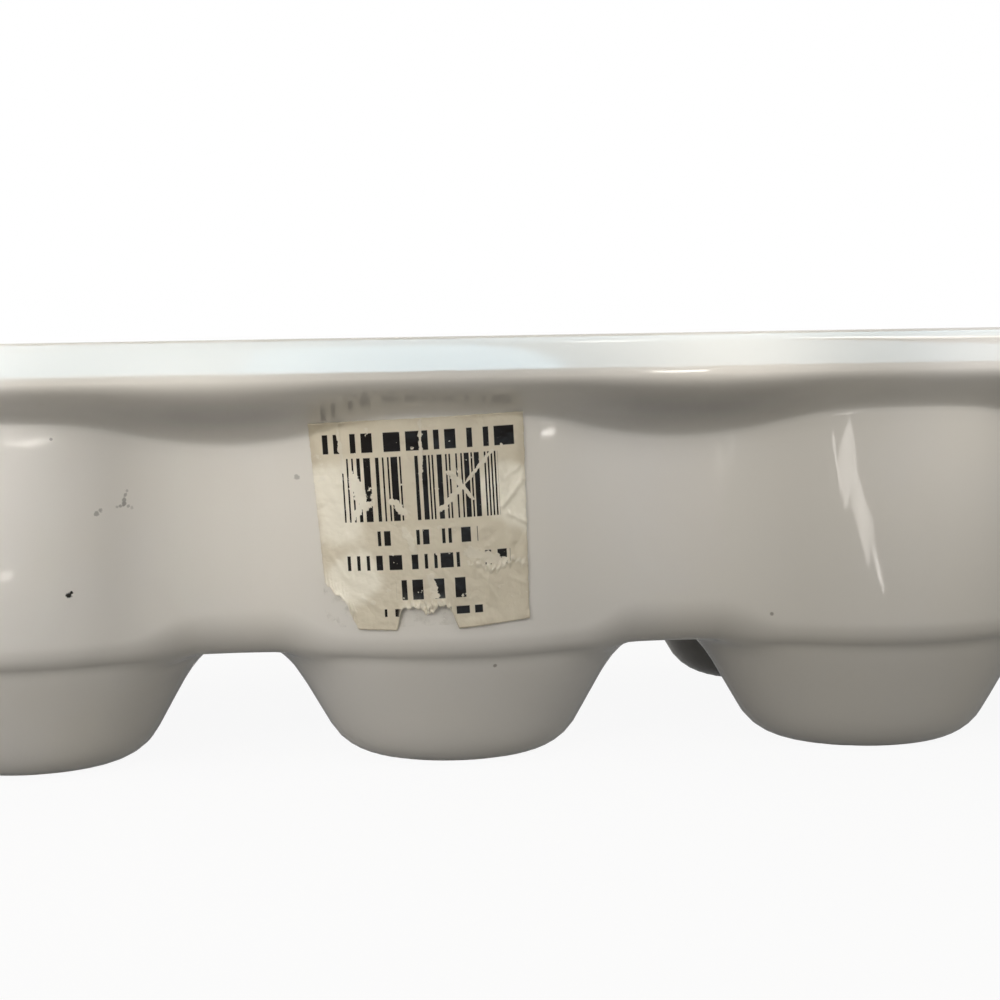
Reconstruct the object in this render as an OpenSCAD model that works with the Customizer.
// Ceramic egg tray: rows of tapered cups under a scalloped wall with a thick rounded rim,
// and a torn paper label stuck on one bulge of the front wall.
// Millimetres, +Z up, +X along the tray. The origin is on the table, under the tray's middle.

/* [Layout] */
// Number of cups along the tray
cups_long = 6; // [2:1:8]
// Number of cups across the tray
cups_across = 2; // [2:1:4]
// Distance between the axes of neighbouring cups
cup_pitch = 52; // [50:0.5:60]
// Height of the whole tray
tray_h = 51; // [48:0.5:60]
// Thickness of the cast shell, the same in the cups, the floor and the wall
shell_t = 4; // [2.5:0.1:5]

/* [Cups] */
// Radius of the flat foot under each cup
foot_r = 9.2; // [7:0.1:11]
// Radius of the round edge between the foot and the side of a cup
foot_round = 7.1; // [4:0.1:9]
// Angle of a cup's side, from the vertical
cup_taper = 29.6; // [22:0.1:33]
// Height of the floor's underside above the table
floor_z = 14; // [12:0.5:16]
// Thickness of a cup's bottom
nest_t = 5; // [3:0.1:6]
// Radius of the round edge inside the bottom of a cup
nest_round = 7; // [4:0.1:9]

/* [Wall] */
// Step from a cup's side out to the wall, and the radius that rounds it
ledge = 2.1; // [1.7:0.1:2.4]
// Angle by which the wall leans outwards
wall_draft = 5; // [2:0.5:7]
// Depth of the hollow between two bulges of the wall
scallop_depth = 7.2; // [5.5:0.1:9]
// Radius of the hollow curve where the wall meets the rim
rim_flare = 2.6; // [1.5:0.1:3.5]

/* [Rim] */
// Thickness of the rim
rim_t = 7; // [6:0.1:8]
// Radius of the rim's upper edge
rim_top_round = 2; // [0.5:0.1:2.4]
// Radius of the roll under the rim's outer edge
rim_lower_round = 3.2; // [2:0.1:3.5]
// Level strip left under the rim, outside the hollow curve
rim_strip = 0.2; // [0.1:0.1:3]

/* [Label] */
// Width of the label, seen from the front
label_w = 24.2; // [16:0.1:26]
// Height of the label, tabs included
label_h = 24.2; // [16:0.1:25]
// How far the label's middle lies to the left of its cup's axis
label_left = 4.6; // [0:0.1:6]
// How far the label's middle lies above the middle of the wall's leaning face
label_rise = 1; // [0:0.1:2]
// Turn of the label on the wall, anticlockwise
label_turn = 2.5; // [-3:0.5:3]
// Height of the piece torn out of the label's lower edge
tear_h = 2.6; // [1:0.1:5]
// Thickness of the label's paper
paper_t = 0.15; // [0.1:0.01:0.4]
// Thickness of the adhesive film under the paper
adhesive_t = 0.05; // [0.03:0.01:0.2]

/* [Hidden] */
$fn = 96;
// Steps in each round stretch of a section
round_steps = 6;
// Radius of a hollow, over that of the curve that would touch both bulges
hollow_ease = 1.1;
// Direction, from the hollow curve's axis, up to which the label can follow that curve
label_bend_end = 140;
// Length by which a cutting shape passes the face that it cuts
past = 1;

ROW_NAMES = "abcd";
CUP_NAMES = [for (row = [0:cups_across - 1]) for (col = [0:cups_long - 1]) cup_name(row, col)];

glaze_white = [0.90, 0.90, 0.88];
paper_cream = [0.87, 0.83, 0.72];
adhesive_grey = [0.80, 0.78, 0.70];

// Half lengths of the rectangle through the axes of the corner cups
axes_x = (cups_long - 1) * cup_pitch / 2;
axes_y = (cups_across - 1) * cup_pitch / 2;

// Cup: its side is a cone that runs tangent out of the round edge of the foot
side_start = [foot_r + foot_round * cos(cup_taper), foot_round * (1 - sin(cup_taper))];
function cup_r(z) = side_start[0] + (z - side_start[1]) * tan(cup_taper);
function nest_r(z) = cup_r(z) - shell_t / cos(cup_taper);
nest_side_z = nest_t + nest_round * (1 - sin(cup_taper));
nest_floor_r = nest_r(nest_side_z) - nest_round * cos(cup_taper);
mouth_r = cup_r(floor_z);

// Wall: bulges round the cups, joined by hollows that curve round axes outside the tray.
// A hollow is a little flatter than the curve that would just touch both bulges, so it meets them in an edge.
floor_top = floor_z + shell_t;
rim_z = tray_h - rim_t;
bulge_r = mouth_r + ledge;
draft_z = floor_z + ledge;
valley_reach = bulge_r - scallop_depth;
touching_r = (pow(cup_pitch / 2, 2) + pow(valley_reach, 2) - pow(bulge_r, 2)) / (2 * scallop_depth);
hollow_r = hollow_ease * touching_r;
hollow_axis = valley_reach + hollow_r;
axis_distance = norm([cup_pitch / 2, hollow_axis]);
hollow_bite = bulge_r + hollow_r - axis_distance;
function lean(z) = (z - draft_z) * tan(wall_draft);
floor_edge = lean(floor_top) - shell_t;
wall_inner_top = lean(rim_z) - shell_t;
flare_z = rim_z - rim_flare;
straight_top = flare_z + rim_flare * sin(wall_draft);
flare_o = rim_flare * cos(wall_draft) + lean(straight_top);

// Rim: it reaches the same distance beyond the outer cup axes on every side
rim_reach = bulge_r + flare_o + rim_strip + rim_lower_round;

// Label: it sits on the bulge of the cup left of the tray's middle, and its top bends with the hollow curve
label_cup = ceil(cups_long / 2) - 1;
label_x = label_cup * cup_pitch - axes_x - label_left;
label_z = (draft_z + straight_top) / 2 + label_rise;

function cup_name(row, col) = str("cup_", ROW_NAMES[row], col + 1);
function cup_centre(row, col) = [col * cup_pitch - axes_x, row * cup_pitch - axes_y];

// Sides are counted from the front anticlockwise: front, right, back, left
function side_cups(side) = side % 2 == 0 ? cups_long : cups_across;
function side_length(side) = (side_cups(side) - 1) * cup_pitch;

// Points of an arc round centre c, from angle a0 to angle a1
function arc(c, r, a0, a1) =
    [for (i = [0:round_steps]) let (a = a0 + (a1 - a0) * i / round_steps) c + r * [cos(a), sin(a)]];

// Section of a cup from its axis outwards, as [radius, height]
function cup_section() = concat(
    [[0, 0]],
    arc([foot_r, foot_round], foot_round, -90, -cup_taper),
    [[mouth_r, floor_z], [nest_r(floor_z), floor_z]],
    arc([nest_floor_r, nest_t + nest_round], nest_round, -cup_taper, -90),
    [[0, nest_t]]);

// Faces of the wall from the bottom up, as [distance outside the wall's foot line, height]
function outer_face() = concat(
    arc([-ledge, draft_z], ledge, -90, 0),
    arc([flare_o, flare_z], rim_flare, 180 - wall_draft, 90));
function inner_face() = [
    [floor_edge, floor_z - past], [floor_edge, floor_top],
    [wall_inner_top, rim_z], [wall_inner_top, rim_z + past]];
function label_face(out) = concat(
    [[out, draft_z]],
    arc([flare_o, flare_z], rim_flare - out, 180 - wall_draft, label_bend_end));
function upright_face(out, z0, z1) = [[out, z0], [out, z1]];

function lowest(face) = face[0][1];
function highest(face) = face[len(face) - 1][1];

// Section of the rim from the axis of a corner cup outwards
function rim_section() = concat(
    [[0, rim_z]],
    arc([rim_reach - rim_lower_round, rim_z + rim_lower_round], rim_lower_round, -90, 0),
    arc([rim_reach - rim_top_round, tray_h - rim_top_round], rim_top_round, 0, 90),
    [[0, tray_h]]);

// Outline of the label seen from the front, as [x, height] from its middle.
// The lower edge is torn: a corner is gone on the left, and a piece between two tabs.
function label_outline() = [
    for (p = [
        [-0.5, 0.5], [0.5, 0.5], [0.5, -0.47], [0.21, -0.5],
        [0.19, -0.5 + tear_h / label_h], [-0.09, -0.5 + tear_h / label_h], [-0.13, -0.5],
        [-0.28, -0.5], [-0.33, -0.44], [-0.43, -0.36], [-0.46, -0.24]])
    [p[0] * label_w, p[1] * label_h]];

// Turns a side's own frame into place: its cup axes lie on y = 0 and its wall faces -y
module on_side(side) {
    rotate(90 * side) translate([0, side % 2 == 0 ? -axes_y : -axes_x]) children();
}

// A face carried right round a cup's axis, filled to the axis
module bulge(face) {
    rotate_extrude() polygon(concat(
        [[0, lowest(face)]],
        [for (p = face) [bulge_r + p[0], p[1]]],
        [[0, highest(face)]]));
}

// What a hollow takes away between a cup and the next one
module hollow_cut(face) {
    translate([cup_pitch / 2, -hollow_axis]) rotate_extrude() polygon(concat(
        [[0, lowest(face) - past], [hollow_r - face[0][0], lowest(face) - past]],
        [for (p = face) [hollow_r - p[0], p[1]]],
        [[hollow_r - face[len(face) - 1][0], highest(face) + past], [0, highest(face) + past]]));
}

// The straight part behind the hollows: a face carried along x, from depth back to the hollows' edges
module straight_fill(face, length, depth) {
    translate([-length / 2, 0]) rotate([90, 0, 90]) linear_extrude(length) polygon(concat(
        [[depth, lowest(face)]],
        [for (p = face) [-(bulge_r + p[0] - hollow_bite / 2) * hollow_axis / axis_distance, p[1]]],
        [[depth, highest(face)]]));
}

// Everything inside a face on one side of the tray, in the side's own frame and back to depth
module side_body(face, cups, depth) {
    length = (cups - 1) * cup_pitch;
    difference() {
        union() {
            straight_fill(face, length, depth);
            for (i = [0:cups - 1]) translate([i * cup_pitch - length / 2, 0]) bulge(face);
        }
        for (i = [0:cups - 2]) translate([i * cup_pitch - length / 2, 0]) hollow_cut(face);
    }
}

// Everything inside a face all round the tray
module tray_body(face) {
    difference() {
        union() {
            on_side(0) straight_fill(face, 2 * axes_x, axes_y);
            on_side(1) straight_fill(face, 2 * axes_y, axes_x);
            on_side(2) straight_fill(face, 2 * axes_x, axes_y);
            on_side(3) straight_fill(face, 2 * axes_y, axes_x);
            for (row = [0:cups_across - 1]) for (col = [0:cups_long - 1])
                translate(cup_centre(row, col)) bulge(face);
        }
        for (side = [0:3]) on_side(side) for (i = [0:side_cups(side) - 2])
            translate([i * cup_pitch - side_length(side) / 2, 0]) hollow_cut(face);
    }
}

// One side of the wall, from mitre to mitre of its corners
module wall(side) {
    half = side_length(side) / 2;
    color(glaze_white) on_side(side) intersection() {
        difference() {
            side_body(outer_face(), side_cups(side), 0);
            side_body(inner_face(), side_cups(side), past);
        }
        linear_extrude(tray_h) polygon([
            [-half, 0], [-half - cup_pitch, -cup_pitch], [half + cup_pitch, -cup_pitch], [half, 0]]);
    }
}

// The rim with its inside not yet cut out
module rim_blank() {
    translate([-axes_x, -axes_y, rim_z]) cube([2 * axes_x, 2 * axes_y, rim_t]);
    for (side = [0:3]) on_side(side) {
        translate([side_length(side) / 2, 0]) rotate([90, 0, -90]) linear_extrude(side_length(side))
            polygon(rim_section());
        translate([side_length(side) / 2, 0]) rotate_extrude() polygon(rim_section());
    }
}

module rim() {
    color(glaze_white) difference() {
        rim_blank();
        tray_body(upright_face(wall_inner_top, rim_z - past, tray_h + past));
    }
}

module floor_web() {
    color(glaze_white) difference() {
        tray_body(upright_face(floor_edge, floor_z, floor_top));
        for (row = [0:cups_across - 1]) for (col = [0:cups_long - 1])
            translate(cup_centre(row, col)) translate([0, 0, floor_z - past]) cylinder(
                r1 = nest_r(floor_z - past), r2 = nest_r(floor_top + past), h = shell_t + 2 * past);
    }
}

module egg_cup(row, col) {
    color(glaze_white) translate(cup_centre(row, col)) rotate_extrude() polygon(cup_section());
}

// A film of the label's outline on the wall, from distance d0 to distance d1 outside its face.
// It covers the label's bulge and the hollow on either side.
module label_film(d0, d1) {
    intersection() {
        translate([label_cup * cup_pitch - axes_x, -axes_y]) difference() {
            side_body(label_face(d1), 3, 0);
            side_body(label_face(d0), 3, past);
        }
        translate([label_x, -axes_y, label_z]) rotate([90, 0, 0]) rotate(label_turn)
            linear_extrude(cup_pitch) polygon(label_outline());
    }
}

module label_adhesive() {
    color(adhesive_grey) label_film(0, adhesive_t);
}

module price_label() {
    color(paper_cream) label_film(adhesive_t, adhesive_t + paper_t);
}

rim();
wall(0);  // front_wall
wall(1);  // right_wall
wall(2);  // back_wall
wall(3);  // left_wall
floor_web();
for (row = [0:cups_across - 1]) for (col = [0:cups_long - 1])
    egg_cup(row, col);
label_adhesive();
price_label();
